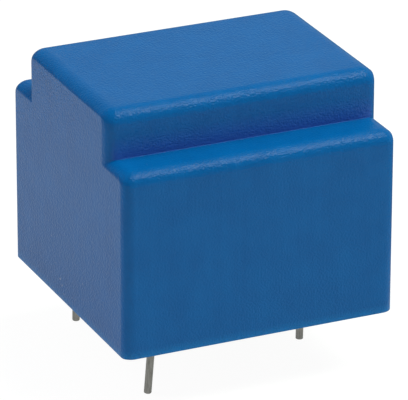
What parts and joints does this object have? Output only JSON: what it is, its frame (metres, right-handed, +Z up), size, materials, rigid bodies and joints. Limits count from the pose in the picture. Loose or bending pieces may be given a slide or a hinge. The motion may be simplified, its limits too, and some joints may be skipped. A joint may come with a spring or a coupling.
{
  "type": "pcb transformer",
  "caption": "Small encapsulated mains transformer for a circuit board: a stepped moulded case filled with resin, standing on thin round solder pins.",
  "frame": {"origin": "middle of the footprint, on the plane of the case's rim, where the part sits on the board", "axes": "+Z up out of the board, X along the step of the case with the secondary pins at +X, Y across the step with the pin rows along it; the pins point to -Z"},
  "size_m": [0.0228, 0.0222, 0.0241],
  "materials": {
    "case_plastic": "fine-grained blue thermoplastic with a slight sheen",
    "resin": "cast resin, self-levelled",
    "bobbin_plastic": "natural glass-filled polyamide",
    "core_steel": "varnished electrical sheet",
    "copper_wire": "enamelled copper wire",
    "tape": "polyester insulating tape",
    "pin_metal": "tinned wire, satin",
    "solder": "tin solder"
  },
  "bodies": {
    "root": {"case": "case_plastic", "potting_resin": "resin", "bobbin": "bobbin_plastic", "core_half_primary": "core_steel", "core_half_secondary": "core_steel", "primary_winding": "copper_wire", "secondary_winding": "copper_wire", "primary_tape": "tape", "secondary_tape": "tape", "primary_pin_front": "pin_metal", "primary_pin_back": "pin_metal", "secondary_pin_front": "pin_metal", "secondary_pin_back": "pin_metal", "primary_lead_front": "copper_wire", "primary_lead_back": "copper_wire", "secondary_lead_front": "copper_wire", "secondary_lead_back": "copper_wire", "primary_solder_front": "solder", "primary_solder_back": "solder", "secondary_solder_front": "solder", "secondary_solder_back": "solder"}
  },
  "joints": []
}
